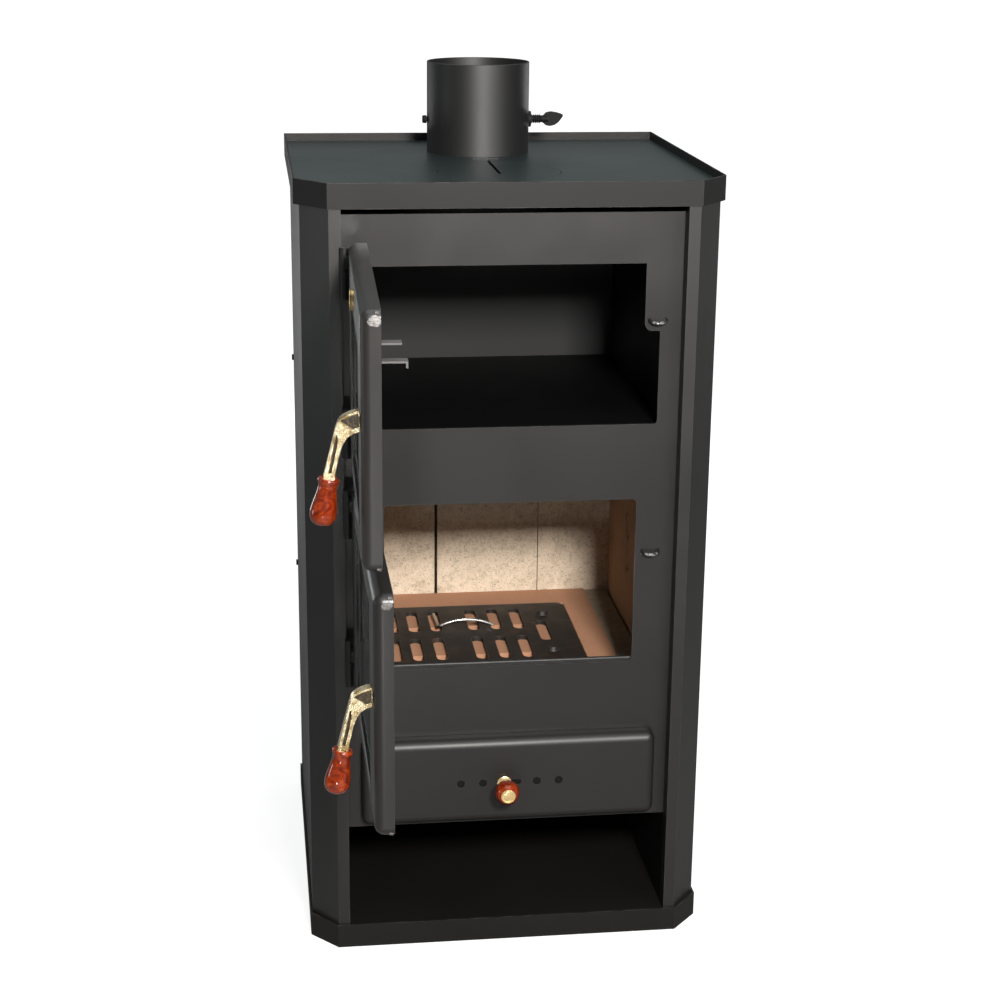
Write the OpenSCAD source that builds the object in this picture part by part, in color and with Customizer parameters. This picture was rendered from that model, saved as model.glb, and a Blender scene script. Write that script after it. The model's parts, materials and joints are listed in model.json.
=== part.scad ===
// Wood burning cooker stove: firebox below, oven above, ash drawer and log bay at the bottom.
// Frame: origin on the floor at the middle of the base, +Z up, front towards -Y, +X to the right.
// Both doors and their fittings are drawn closed, then swung open about their hinge axes.

/* [Casing] */
// Width over the two side casings
casing_w = 482; // [470:1:490]
// Front plane of the casing's folded strips
casing_front = -236.5; // [-238:0.5:-236]
// Rear plane of the casing
casing_rear = 238; // [236:0.5:239]
// Width of each front corner bevel
bevel_x = 31; // [31:0.5:33]
// Depth of each front corner bevel
bevel_y = 39; // [39:0.5:41]
// Width of the flat strip beside the doors
strip_w = 13.5; // [11.5:0.5:13.5]
// Thickness of the casing sheet
sheet = 2; // [1.5:0.5:2]

/* [Top] */
// Width over the top rim
top_w = 495; // [493:1:500]
// Front plane of the top rim
top_front = -239; // [-241:0.5:-239]
// Rear plane of the top rim
top_rear = 241; // [241:0.5:243]
// Height of the rim's upper edge
top_h = 940; // [938:1:942]
// Height of the hob's cooking face
hob_z = 930; // [929:0.5:931]
// Lower edge of the top rim's skirt
skirt_z = 911; // [908:1:914]
// Outside diameter of the flue spigot
flue_d = 130; // [128:1:130]
// Height of the flue spigot's mouth
flue_top = 1043; // [1035:1:1060]
// Diameter of the round cooking lid
lid_d = 148; // [140:1:148]

/* [Front] */
// Front face of the recessed front panel
panel_y = -216; // [-216.5:0.5:-216]
// Width of the oven opening
oven_open_w = 343; // [336:1:344]
// Width of the fire opening
fire_open_w = 300; // [290:1:304]
// Height of both doors
door_h = 257; // [254:1:257]
// Lower edge of the oven door
oven_door_z = 620; // [619:1:621]
// Lower edge of the fire door
fire_door_z = 340; // [339:1:341]
// How far the oven door stands open, from closed
oven_open_deg = 91.5; // [60:0.5:115]
// How far the fire door stands open, from closed
fire_open_deg = 90; // [60:0.5:115]

/* [Handles] */
// Diameter of the turned wooden grips at their widest
grip_d = 28; // [24:0.5:29]
// Length of the turned wooden grips
grip_len = 48; // [44:1:50]
// Diameter of the air knob's ball
knob_d = 30; // [26:0.5:31]

/* [Hidden] */
$fn = 48;
fit = 0.3;          // air left between pieces that move past each other
run = 0.05;         // radial clearance of a pin in its knuckle
half_w = casing_w / 2;
strip_x = half_w - bevel_x - strip_w;      // inner edge of the front strips
base_h = 30;
bay_floor_z = 27;
bay_top_z = 151;
panel_t = 3;
panel_back = panel_y + panel_t;
panel_top_z = 902;
body_x = 208;       // inner face of the body's side walls
body_t = 3;
body_rear = 192;
hob_t = 6;
oven_x = 185;
oven_rear = 165;
oven_floor_z = 650;
oven_top_z = 852;
fire_open_z = 355.5;
fire_open_top = 561;
oven_open_z = 653;
oven_open_top = 843;
tab_x = 153.5;      // the oven opening narrows here above the staple
tab_z = 764;
brick_t = 18;
brick_top_z = 600;
shelf_z = 285;
hearth_z = 315;     // top of the floor brick
back_brick_y = 162;
ledge_x = 155;
flue_x = -3;
flue_y = 122;
flue_t = 2.2;
neck_r = flue_d / 2 - 1.2;   // the spigot is a touch narrower below its sliding face
neck_top = 985;
damper_z = 970.5;
lid_y = -76;
hinge_x = -193.3;
hinge_y = -241.5;
hinge_r = 5;
hinge_pin_r = 3;
hinge_len = 58;
hinge_off = 92;     // each door's hinges, above and below its middle
door_left = -188;
door_right = 190;
door_face = -237;
door_back = panel_y - 0.8;
door_sheet = 2;
door_corner = 10;
window_w = 240;
spindle_x = 168.3;
spindle_r = 4;
staple_drop = 10.3;    // the spindle lies this far below its staple
oven_staple_z = 777.5;
fire_staple_z = 496.5;
drawer_w = 360;
drawer_z = 158.5;
drawer_h = 109;
drawer_face = -236;
air_z = 211;
air_x = -7;         // where the air knob stands in its slot
knob_out = 29;      // centre of the knob in front of the drawer
button_r = 9;       // brass button in the knob's front
button_seat = sqrt(knob_d * knob_d / 4 - button_r * button_r) - 1.5;
black = [0.13, 0.13, 0.14];
dark = [0.08, 0.08, 0.09];
cast = [0.10, 0.09, 0.09];
board = [0.80, 0.70, 0.55];
clay = [0.72, 0.47, 0.35];
brass = [0.80, 0.66, 0.35];
burl = [0.55, 0.16, 0.05];
steel = [0.62, 0.62, 0.64];
rope = [0.20, 0.19, 0.18];

// ---- helpers ----
function unit(v) = v / norm(v);
function side_normal(a, b) = let (d = unit(b - a)) [-d[1], d[0]];
function mitre(path, i, t) =
    i == 0 ? path[0] + t * side_normal(path[0], path[1]) :
    i == len(path) - 1 ? path[i] + t * side_normal(path[i - 1], path[i]) :
    let (a = side_normal(path[i - 1], path[i]),
         b = side_normal(path[i], path[i + 1]),
         m = unit(a + b)) path[i] + t / (m * a) * m;
// Outline of a sheet of thickness t folded along a path
module bent_sheet(path, t) {
    polygon(concat(path, [for (i = [len(path) - 1:-1:0]) mitre(path, i, t)]));
}
// A block between two opposite corners
module block(low, high) {
    translate(low) cube(high - low);
}
// Children drawn in X and Z, made solid from y0 to y1
module upright(y0, y1) {
    translate([0, y1, 0]) rotate([90, 0, 0]) linear_extrude(y1 - y0) children();
}
module cylinder_y(r, y0, y1) {
    translate([0, y1, 0]) rotate([90, 0, 0]) cylinder(r = r, h = y1 - y0);
}
module cylinder_x(r, x0, x1) {
    translate([x0, 0, 0]) rotate([0, 90, 0]) cylinder(r = r, h = x1 - x0);
}
module rect(x0, x1, z0, z1) {
    translate([x0, z0]) square([x1 - x0, z1 - z0]);
}
module round_rect(x0, x1, z0, z1, r) {
    rect(x0 + r, x1 - r, z0, z1);
    rect(x0, x1, z0 + r, z1 - r);
    for (x = [x0 + r, x1 - r], z = [z0 + r, z1 - r]) translate([x, z]) circle(r);
}
// Outline in plan with bevelled front corners
module plan(w, front, rear, bx, by) {
    h = w / 2;
    polygon([[-h, rear], [-h, front + by], [-h + bx, front],
             [h - bx, front], [h, front + by], [h, rear]]);
}
module swing(deg) {
    translate([hinge_x, hinge_y, 0]) rotate([0, 0, -deg]) translate([-hinge_x, -hinge_y, 0])
        children();
}

// ---- base and casing ----
base_wall = 2;
base_w = casing_w + 5;
base_front = casing_front - 4;
base_rear = casing_rear + 2;
base_bevel_x = 32.5;
base_bevel_y = 36;
module base_plan(inset) {
    plan(base_w - 2 * inset, base_front + inset, base_rear - inset,
         base_bevel_x - 0.6 * inset, base_bevel_y - 0.6 * inset);
}
module base_tray() color(black) {
    foot_t = 3;
    foot_w = 40;
    linear_extrude(base_h) difference() {
        base_plan(0);
        base_plan(base_wall);
    }
    translate([0, 0, bay_floor_z - 3]) linear_extrude(3) base_plan(base_wall);
    linear_extrude(foot_t) difference() {
        base_plan(base_wall);
        for (side = [-1, 1])
            translate([-half_w + foot_w, side * half_w / 2 - 70]) square([casing_w - 2 * foot_w, 140]);
    }
}
// One side wall, front bevel, front strip and the return that frames the doors
module casing_side() {
    rear_fold = 15;
    path = [[rear_fold - half_w, casing_rear], [-half_w, casing_rear],
            [-half_w, casing_front + bevel_y], [-half_w + bevel_x, casing_front],
            [-strip_x, casing_front], [-strip_x, panel_y - 0.2]];
    translate([0, 0, bay_floor_z]) linear_extrude(hob_z - hob_t - bay_floor_z)
        bent_sheet(path, sheet);
}
module left_casing() color(black) casing_side();
module right_casing() color(black) mirror([1, 0, 0]) casing_side();
module back_panel() color(black) {
    vent_w = 60;
    vent_h = 6;
    edge = half_w - 16;
    difference() {
        block([-edge, casing_rear - 3, bay_floor_z], [edge, casing_rear - 1, hob_z - hob_t]);
        for (row = [0:4], side = [-1, 0, 1])
            translate([side * 110 - vent_w / 2, casing_rear - 5, 700 + row * 22])
                cube([vent_w, 6, vent_h]);
        for (row = [0:2], side = [-1, 0, 1])
            translate([side * 110 - vent_w / 2, casing_rear - 5, 190 + row * 22])
                cube([vent_w, 6, vent_h]);
    }
}
rim_t = 2;
rim_bevel_x = 36.2;
rim_bevel_y = 45.2;
module rim_plan(inset) {
    plan(top_w - 2 * inset, top_front + inset, top_rear - inset,
         rim_bevel_x - 0.6 * inset, rim_bevel_y - 0.6 * inset);
}
module top_rim() color(black) {
    translate([0, 0, skirt_z]) linear_extrude(top_h - skirt_z) difference() {
        rim_plan(0);
        rim_plan(rim_t);
    }
}
lid_seat = 3;
module hob_plate() color(black) {
    difference() {
        translate([0, 0, hob_z - hob_t]) linear_extrude(hob_t) rim_plan(rim_t);
        translate([0, lid_y, hob_z - hob_t - 1]) cylinder(d = lid_d - 14, h = hob_t + 2);
        translate([0, lid_y, hob_z - lid_seat]) cylinder(d = lid_d + 2 * fit, h = lid_seat + 1);
        translate([flue_x, flue_y, hob_z - hob_t - 1]) cylinder(r = neck_r, h = hob_t + 2, $fn = 96);
        relief_slot(relief_rear, lid_y);
        block([-18, relief_rear - 7, hob_z - hob_t - 1], [14, relief_rear, hob_z + 1]);
    }
}
relief_w = 4;
relief_rear = 44;
// Narrow cut that lets the hot plate grow without warping
module relief_slot(rear, front) {
    block([-3.5, front, hob_z - hob_t - 1], [relief_w - 3.5, rear, hob_z + 1]);
}
module casing_screws() color(dark) {
    head_r = 4;
    for (side = [-1, 1], z = [345, 640], y = [226])
        translate([side * half_w, y, z]) rotate([0, side * 90, 0]) cylinder(r = head_r, h = 2.5);
    for (side = [-1, 1], z = [60, 470, 880])
        translate([side * 215, casing_rear - 1, z]) rotate([-90, 0, 0]) cylinder(r = head_r, h = 2.5);
}

// ---- flue and its damper ----
shaft_r = 3;
module flue_collar() color(black) {
    difference() {
        translate([flue_x, flue_y, 0]) {
            translate([0, 0, hob_z - hob_t]) cylinder(r = neck_r, h = neck_top - hob_z + hob_t, $fn = 96);
            translate([0, 0, neck_top]) cylinder(d = flue_d, h = flue_top - neck_top, $fn = 96);
        }
        translate([flue_x, flue_y, hob_z - hob_t - 1])
            cylinder(d = flue_d - 2 * flue_t, h = flue_top - hob_z + hob_t + 2, $fn = 96);
        translate([flue_x, flue_y, damper_z]) cylinder_x(shaft_r + run, -flue_d, flue_d);
    }
}
module damper_bushes() color(dark) translate([flue_x, flue_y, damper_z]) {
    reach = flue_d / 2;
    difference() {
        cylinder_x(10, neck_r - 2, reach + 3);
        cylinder_x(shaft_r + run, 0, reach + 5);
        translate([0, 0, -45]) cylinder(r = neck_r, h = 90, $fn = 96);
    }
}
module damper_shaft() color(dark) translate([flue_x, flue_y, damper_z]) {
    reach = flue_d / 2;
    cylinder_x(shaft_r, -reach - 4, reach + 22);
    translate([reach + 32, 0, 0]) {
        upright(-1.6, 1.6) scale([1, 1]) difference() {
            union() {
                translate([-3, 0]) circle(8);
                translate([4, 0]) circle(9.5);
            }
            translate([-20, -20]) square([6, 40]);
        }
        cylinder_x(4, -14, -2);
    }
    cylinder_x(5, -reach - 6, -reach - 0.5 - fit);
}
module damper_spring() color(dark) translate([flue_x, flue_y, damper_z]) {
    first = flue_d / 2 + 4.4;
    turns = 5;
    pitch = 2.6;
    for (i = [0:turns - 1]) translate([first + i * pitch, 0, 0]) rotate([0, 90, 0])
        rotate_extrude() translate([4.6, 0]) circle(0.9, $fn = 16);
    difference() {
        cylinder_x(4, first, first + (turns - 1) * pitch);
        cylinder_x(shaft_r + run, first - 1, first + turns * pitch);
    }
}
module damper_plate() color(dark) translate([flue_x, flue_y, damper_z]) difference() {
    translate([0, -4.2, 0]) cylinder_y(58, -0.8, 0.8);
    translate([0, -4.2, 0]) for (side = [-1, 1]) translate([0, 0, side * 34]) cylinder_y(7, -3, 3);
}

// ---- front panel and what is welded to it ----
module oven_outline() {
    w = oven_open_w / 2;
    r = 4;
    tab_r = 9;
    difference() {
        round_rect(-w, w, oven_open_z, oven_open_top, r);
        rect(tab_x, w + 1, tab_z + tab_r, oven_open_top + 1);
        rect(tab_x + tab_r, w + 1, tab_z, oven_open_top + 1);
        translate([tab_x + tab_r, tab_z + tab_r]) circle(tab_r);
    }
}
module front_panel() color(black) {
    w = body_x + body_t;
    fold = 6;
    upright(panel_y, panel_back) difference() {
        rect(-w, w, bay_top_z, panel_top_z);
        oven_outline();
        round_rect(-fire_open_w / 2, fire_open_w / 2, fire_open_z, fire_open_top, 6);
        rect(-156, 156, bay_top_z + 6, 250);
    }
    block([-body_x, panel_back, panel_top_z - panel_t], [body_x, panel_back + fold, panel_top_z]);
}
// Wire bent to a half ring and welded to the panel, leaning down a little
module staple(z) difference() {
    wire_r = 2.2;
    tilt = 21;
    translate([spindle_x, panel_y + 0.5, z]) rotate([tilt, 0, 0]) rotate([0, 0, 180])
        rotate_extrude(angle = 180) translate([9.6, 0]) circle(wire_r, $fn = 24);
    block([spindle_x - 20, panel_y, z - 10], [spindle_x + 20, panel_y + 10, z + 10]);
}
module door_staples() color(dark) {
    staple(oven_staple_z);
    staple(fire_staple_z);
}
function hinge_heights(door_z) = [door_z + door_h / 2 - hinge_off, door_z + door_h / 2 + hinge_off];
// Lower knuckle, its pin and the leaf that joins it to the front panel
module fixed_hinge(z) {
    half = hinge_len / 2;
    translate([hinge_x, hinge_y, z - half]) cylinder(r = hinge_r, h = half - fit);
    translate([hinge_x, hinge_y, z - fit - 1]) cylinder(r = hinge_pin_r, h = half - 1);
    block([-strip_x + 0.4, hinge_y + 2, z - half + 2], [-strip_x + 3.4, panel_y, z - 3]);
}
module hinge_pins() color(dark) {
    for (door_z = [oven_door_z, fire_door_z], z = hinge_heights(door_z)) fixed_hinge(z);
}

// ---- oven, body and lining ----
wall = 2;
module oven_floor() color(dark)
    block([-body_x, panel_back, oven_floor_z - 3], [body_x, oven_rear + wall, oven_floor_z]);
module oven_ceiling() color(dark)
    block([-oven_x - wall, panel_back, oven_top_z], [oven_x + wall, oven_rear + wall, oven_top_z + 3]);
module oven_side_walls() color(dark) for (side = [-1, 1])
    block([side * (oven_x + wall / 2) - wall / 2, panel_back, oven_floor_z],
          [side * (oven_x + wall / 2) + wall / 2, oven_rear, oven_top_z]);
module oven_back_wall() color(dark)
    block([-oven_x - wall, oven_rear, oven_floor_z], [oven_x + wall, oven_rear + wall, oven_top_z]);
module body_side_walls() color(dark) for (side = [-1, 1])
    block([side * (body_x + body_t / 2) - body_t / 2, panel_back, bay_top_z],
          [side * (body_x + body_t / 2) + body_t / 2, body_rear, hob_z - hob_t]);
module body_back_wall() color(dark)
    block([-body_x - body_t, body_rear, bay_top_z], [body_x + body_t, body_rear + body_t, hob_z - hob_t]);
module baffle_plate() color(dark)
    block([-body_x + 1, -90, brick_top_z], [body_x - 1, body_rear - 1, brick_top_z + 4]);
module brick_shelf() color(dark) difference() {
    block([-body_x, panel_back, shelf_z - 3], [body_x, body_rear, shelf_z]);
    block([-125, -92, shelf_z - 4], [65, 48, shelf_z + 1]);
}
module ash_floor() color(dark)
    block([-body_x, panel_back, bay_top_z], [body_x, body_rear, bay_top_z + 3]);
// Three upright boards across the back of the firebox
module back_bricks() color(board) {
    edges = [[-190, -54.5], [-50.5, 89], [90, 190]];
    for (e = edges) block([e[0], back_brick_y, shelf_z], [e[1], body_rear - 0.5, brick_top_z]);
}
module side_bricks() color(board) for (side = [-1, 1])
    block([side * (body_x - brick_t / 2) - brick_t / 2, panel_back + 1, shelf_z],
          [side * (body_x - brick_t / 2) + brick_t / 2, body_rear - 0.5, brick_top_z]);
grate_low = [-140, -100];
grate_high = [116, 105];
grate_t = 6;
grate_z = hearth_z - grate_t + 1;
module floor_brick() color(clay) difference() {
    block([-ledge_x, panel_back + 8, shelf_z], [ledge_x, back_brick_y - 0.5, hearth_z]);
    block([grate_low[0] - 1.5, grate_low[1] - 1.5, grate_z - fit],
          [grate_high[0] + 1.5, grate_high[1] + 1.5, hearth_z + 1]);
    for (y = [-84, 18]) block([-120, y, shelf_z - 1], [58, y + 24, hearth_z]);
}
module ledge_boards() color(board) for (side = [-1, 1]) {
    low = side > 0 ? ledge_x + 0.5 : -187;
    block([low, panel_back + 8, shelf_z], [low + 31.5, back_brick_y - 0.5, hearth_z - 2]);
}
module log_guard() color(black) {
    bead_r = 2.5;
    w = fire_open_w / 2 - 1;
    block([-w, panel_back, fire_open_z - 9], [w, panel_back + 2, fire_open_z + bead_r]);
    translate([0, panel_back + bead_r, fire_open_z + bead_r]) cylinder_x(bead_r, -w, w);
}

// ---- grate ----
slot_w = 15;
slot_l = 77;
slot_rows = [-53, 49.5];
slot_columns = [[-125, -97, -67, -16, 14, 43.5], [-122.5, -94, -65, -15, 15, 45]];
end_column = 75;
module slot_outline(l) {
    square([slot_w, l - slot_w], center = true);
    for (s = [-1, 1]) translate([0, s * (l - slot_w) / 2]) circle(d = slot_w);
}
module grate() color(cast) {
    r = 12;
    translate([0, 0, grate_z]) linear_extrude(grate_t) difference() {
        round_rect(grate_low[0], grate_high[0], grate_low[1], grate_high[1], r);
        for (k = [0, 1], x = slot_columns[k]) translate([x, slot_rows[k]]) slot_outline(slot_l);
        translate([end_column, 2]) slot_outline(72);
    }
    for (k = [0, 1]) translate([end_column + 2 + 5 * k, k ? 64 : -68, grate_z + grate_t - 0.5]) cylinder(r1 = 9, r2 = 6, h = 5);
}
// Bent wire used to lift the grate out
module grate_handle() color(steel) {
    wire_r = 2;
    half = 36;
    rise = 8.5;
    bow = (half * half + rise * rise) / (2 * rise);
    sweep = 2 * asin(half / bow);
    translate([-26, 23, grate_z + grate_t + wire_r]) {
        translate([-half, 0, 0]) rotate([0, 0, 93]) rotate([0, 90, 0]) cylinder(r = wire_r, h = 48);
        translate([0, 0, rise - bow]) rotate([90, 0, 0])
            rotate([0, 0, 90 - sweep / 2]) rotate_extrude(angle = sweep, $fn = 180)
                translate([bow, 0]) circle(wire_r, $fn = 16);
        for (s = [-1, 1]) translate([s * half, 0, 0]) sphere(wire_r * 1.2, $fn = 24);
    }
}

// ---- log bay and ash drawer ----
module bay_walls() color(black) {
    rear = 190;
    for (side = [-1, 1])
        block([side * (strip_x + 1) - 1, panel_y, bay_floor_z], [side * (strip_x + 1) + 1, rear, bay_top_z]);
    block([-strip_x, rear - 2, bay_floor_z + 0.5], [strip_x, rear, bay_top_z]);
}
drawer_rear = 110;
drawer_low = 164;
drawer_top = 246;
module drawer_runners() color(dark) for (side = [-1, 1]) {
    x = side * 154;
    block([x - 1.5, panel_back, bay_top_z + 3], [x + 1.5, 150, 200]);
    block([x - (side > 0 ? 14 : 1.5), panel_back, bay_top_z + 3], [x + (side > 0 ? 1.5 : 14), 150, drawer_low - fit]);
}
module ash_drawer_box() color(dark) {
    t = 2;
    w = 150;
    difference() {
        block([-w, panel_y - 1, drawer_low], [w, drawer_rear, drawer_top]);
        block([-w + t, panel_y - 2, drawer_low + t], [w - t, drawer_rear - t, drawer_top + 1]);
    }
}
module ash_drawer_front() color(black) {
    t = 2;
    r = 12;
    w = drawer_w / 2;
    top = drawer_z + drawer_h;
    slot = 14;
    difference() {
        upright(drawer_face, panel_y - 1) round_rect(-w, w, drawer_z, top, r);
        upright(drawer_face + t, panel_y) round_rect(-w + t, w - t, drawer_z + t, top - t, r - t);
        upright(drawer_face - 1, drawer_face + t + 1) {
            for (x = [-60, -33, 33, 60]) translate([x, air_z]) circle(d = 10);
            rect(-slot + 3.5, slot - 3.5, air_z - 3.5, air_z + 3.5);
            for (s = [-1, 1]) translate([s * (slot - 3.5), air_z]) circle(3.5);
        }
    }
    // rear plate that closes the front and carries the box
    upright(panel_y - 3, panel_y - 1) difference() {
        rect(-w + t, w - t, drawer_z + t, top - t);
        rect(-78, 78, air_z - 12, air_z + 12);
    }
    // rails that hold the air slide
    for (s = [-1, 1]) block([-88, drawer_face + t, air_z + s * 15.5 - 2], [88, drawer_face + t + 4, air_z + s * 15.5 + 2]);
}
module air_slide() color(dark) {
    half = 82;
    back = drawer_face + 2;
    upright(back + fit, back + fit + 2) difference() {
        rect(air_x - half, air_x + half, air_z - 13, air_z + 13);
        for (x = [-60, -33, 33, 60]) translate([x - 14, air_z]) circle(d = 10);
        translate([air_x, air_z]) circle(2);
    }
}
module air_knob_stem() color(brass) translate([air_x, 0, air_z]) {
    cylinder_y(3, drawer_face - knob_out + knob_d / 2 - 4, drawer_face + 2.3);
    cylinder_y(2, drawer_face + 2, drawer_face + 5);
    cylinder_y(9, drawer_face - 5, drawer_face - 1);
    cylinder_y(button_r, drawer_face - knob_out - button_seat - 2.2, drawer_face - knob_out - button_seat);
}
module air_knob() color(burl) translate([air_x, drawer_face - knob_out, air_z]) rotate([90, 0, 0])
    rotate_extrude($fn = 64) difference() {
        circle(d = knob_d, $fn = 64);
        translate([-knob_d, -knob_d]) square([knob_d, 2 * knob_d]);
        translate([-1, -knob_d]) square([4, knob_d / 2 + 4]);
        translate([-1, button_seat]) square([button_r + 1, knob_d]);
    }

// ---- doors ----
window_low = 30;     // height of the lower frame rail
function window_top(is_oven) = is_oven ? door_h - 50 : door_h - 28;
module door_shell(z, is_oven) {
    difference() {
        upright(door_face, door_back) round_rect(door_left, door_right, z, z + door_h, door_corner);
        upright(door_face + door_sheet, door_back + 1)
            round_rect(door_left + door_sheet, door_right - door_sheet,
                       z + door_sheet, z + door_h - door_sheet, door_corner - door_sheet);
        upright(door_face - 1, door_face + door_sheet + 1)
            round_rect(-window_w / 2, window_w / 2, z + window_low, z + window_top(is_oven), 6);
        translate([spindle_x, 0, spindle_height(is_oven)]) cylinder_y(spindle_r + run, door_face - 1, door_face + 5);
        if (is_oven) translate([0, 0, gauge_z]) cylinder_y(3.5, door_face - 1, door_face + 5);
    }
}
gauge_z = 849;
gauge_r = 11.5;
function spindle_height(is_oven) = (is_oven ? oven_staple_z : fire_staple_z) - staple_drop;
module door_glass(z, is_oven) {
    lap = 9;
    upright(door_face + door_sheet, door_face + door_sheet + 4)
        rect(-window_w / 2 - lap, window_w / 2 + lap, z + window_low - lap, z + window_top(is_oven) + lap);
}
// Inner frame that clamps the glass, with its screws
module door_glass_frame(z, is_oven) {
    inner = window_w / 2 - 1;
    outer = window_w / 2 + 18;
    low = z + window_low;
    high = z + window_top(is_oven);
    y = door_face + door_sheet + 4;
    upright(y, y + 2) difference() {
        rect(-outer, outer, low - 18, high + 18);
        rect(-inner, inner, low + 1, high - 1);
    }
    for (x = [-outer, outer - 5]) block([x, door_face + door_sheet, low - 18], [x + 5, y, high + 18]);
    for (x = [-window_w / 2 - 5, window_w / 2 + 5], zz = [low + 20, high - 45])
        translate([x, 0, zz]) cylinder_y(4, y + 2, y + 4.5);
}
module door_gasket(z) {
    r = 3.3;
    inset = 5.9;
    y = door_back - r + 0.3;
    upright(y - r, y + r) difference() {
        round_rect(door_left + inset - r, door_right - inset + r, z + inset - r, z + door_h - inset + r, 8);
        round_rect(door_left + inset + r, door_right - inset - r, z + inset + r, z + door_h - inset - r, 3);
    }
    upright(door_face + door_sheet, y - r) difference() {
        rect(door_left + inset - 1.5, door_right - inset + 1.5, z + inset - 1.5, z + door_h - inset + 1.5);
        rect(door_left + inset + 1.5, door_right - inset - 1.5, z + inset + 1.5, z + door_h - inset - 1.5);
    }
}
// Upper knuckle bored for the pin, with the ear that fixes it to the door
module door_knuckle(z) {
    half = hinge_len / 2;
    ear_h = 13;
    difference() {
        union() {
            translate([hinge_x, hinge_y, z]) cylinder(r = hinge_r, h = half);
            block([hinge_x, door_face - 3, z + 8], [door_left + 14, door_face, z + 8 + ear_h]);
        }
        translate([hinge_x, hinge_y, z - 1]) cylinder(r = hinge_pin_r + run, h = half - 1);
    }
}
module door_knuckles(door_z) {
    for (z = hinge_heights(door_z)) door_knuckle(z);
}
// Side view of the cast lever: distance out from the door face, height from the spindle
lever_outline = [[0, 10], [10, 7.4], [19, 2.8], [22, -2], [29, -31], [35.5, -57], [24.5, -57],
                 [21.5, -41], [17.5, -25], [12, -16], [0, -10]];
lever_hollow = [[3, 6.5], [10, 4.6], [17, 0.8], [19.6, -4], [26, -31], [31, -51], [27.5, -51],
                [24.5, -40], [20.3, -24], [14, -13.6], [3, -7.8]];
module lever(z) translate([spindle_x, door_face - fit, z]) {
    w = 12;
    web = 3;
    difference() {
        rotate([90, 0, 90]) translate([0, 0, -w / 2]) linear_extrude(w)
            polygon([for (p = lever_outline) [-p[0], p[1]]]);
        for (s = [-1, 1]) rotate([90, 0, 90]) translate([0, 0, s * (w + web) / 2 - w / 2])
            linear_extrude(w) polygon([for (p = lever_hollow) [-p[0], p[1]]]);
        cylinder_y(spindle_r, -7, 1);
    }
}
// Radius of the turned grip at a fraction of its length
function grip_r(f) =
    f < 0.09 ? grip_d * 0.40 :
    f < 0.28 ? grip_d * (0.305 + 0.095 * cos((f - 0.09) / 0.19 * 180) / 2 + 0.0475) - 0 :
    f < 0.68 ? grip_d * (0.4025 - 0.0975 * cos((f - 0.28) / 0.40 * 180)) :
    grip_d / 2 * sqrt(max(0, 1 - pow((f - 0.68) / 0.32, 2)));
module grip(z) translate([spindle_x, door_face - fit - 29.3, z - 56]) rotate([-10, 0, 0]) {
    steps = 40;
    translate([0, 0, -grip_len]) rotate_extrude(convexity = 4)
        polygon(concat([[0, grip_len], [0, 0]],
                       [for (i = [1:steps]) [grip_r(1 - i / steps), grip_len * i / steps]]));
}
// Spindle through the door with the cam that hooks behind the staple
module spindle(z) translate([spindle_x, 0, z]) {
    cam_y = panel_y - 5.4;
    cam_t = 3;
    cylinder_y(spindle_r, door_face - fit - 7, cam_y + cam_t);
    translate([-9.2, cam_y, -3]) cube([9.2, cam_t, 6]);
    difference() {
        cylinder_y(7, door_face + door_sheet + fit, door_face + door_sheet + fit + 3);
        cylinder_y(spindle_r - 1, door_face, panel_y);
    }
}
module oven_door_shell() color(black) swing(oven_open_deg) door_shell(oven_door_z, true);
module oven_glass() color([0.25, 0.3, 0.3, 0.5]) swing(oven_open_deg) door_glass(oven_door_z, true);
module oven_glass_frame() color(dark) swing(oven_open_deg) door_glass_frame(oven_door_z, true);
module oven_gasket() color(rope) swing(oven_open_deg) door_gasket(oven_door_z);
module oven_knuckles() color(dark) swing(oven_open_deg) door_knuckles(oven_door_z);
module oven_lever() color(brass) swing(oven_open_deg) lever(spindle_height(true));
module oven_grip() color(burl) swing(oven_open_deg) grip(spindle_height(true));
module oven_spindle() color(steel) swing(oven_open_deg) spindle(spindle_height(true));
module fire_door_shell() color(black) swing(fire_open_deg) door_shell(fire_door_z, false);
module fire_glass() color([0.25, 0.3, 0.3, 0.5]) swing(fire_open_deg) door_glass(fire_door_z, false);
module fire_glass_frame() color(dark) swing(fire_open_deg) door_glass_frame(fire_door_z, false);
module fire_gasket() color(rope) swing(fire_open_deg) door_gasket(fire_door_z);
module fire_knuckles() color(dark) swing(fire_open_deg) door_knuckles(fire_door_z);
module fire_lever() color(brass) swing(fire_open_deg) lever(spindle_height(false));
module fire_grip() color(burl) swing(fire_open_deg) grip(spindle_height(false));
module fire_spindle() color(steel) swing(fire_open_deg) spindle(spindle_height(false));
// Round dial thermometer on the oven door's upper rail
module thermometer_case() color(brass) swing(oven_open_deg) translate([0, 0, gauge_z]) {
    front = door_face - 5;
    difference() {
        cylinder_y(gauge_r, front, door_face);
        cylinder_y(gauge_r - 1.5, front - 1, door_face - 2.5);
    }
    cylinder_y(3, door_face - 1, door_face + 8);
}
module thermometer_needle() color(dark) swing(oven_open_deg) translate([0, 0, gauge_z]) {
    y = door_face - 2.5 - fit;
    rotate([0, 35, 0]) {
        upright(y - 0.5, y) polygon([[-0.9, -3], [0.9, -3], [0.3, 9.5], [-0.3, 9.5]]);
        cylinder_y(1.6, y - 1, y);
    }
}
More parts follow.
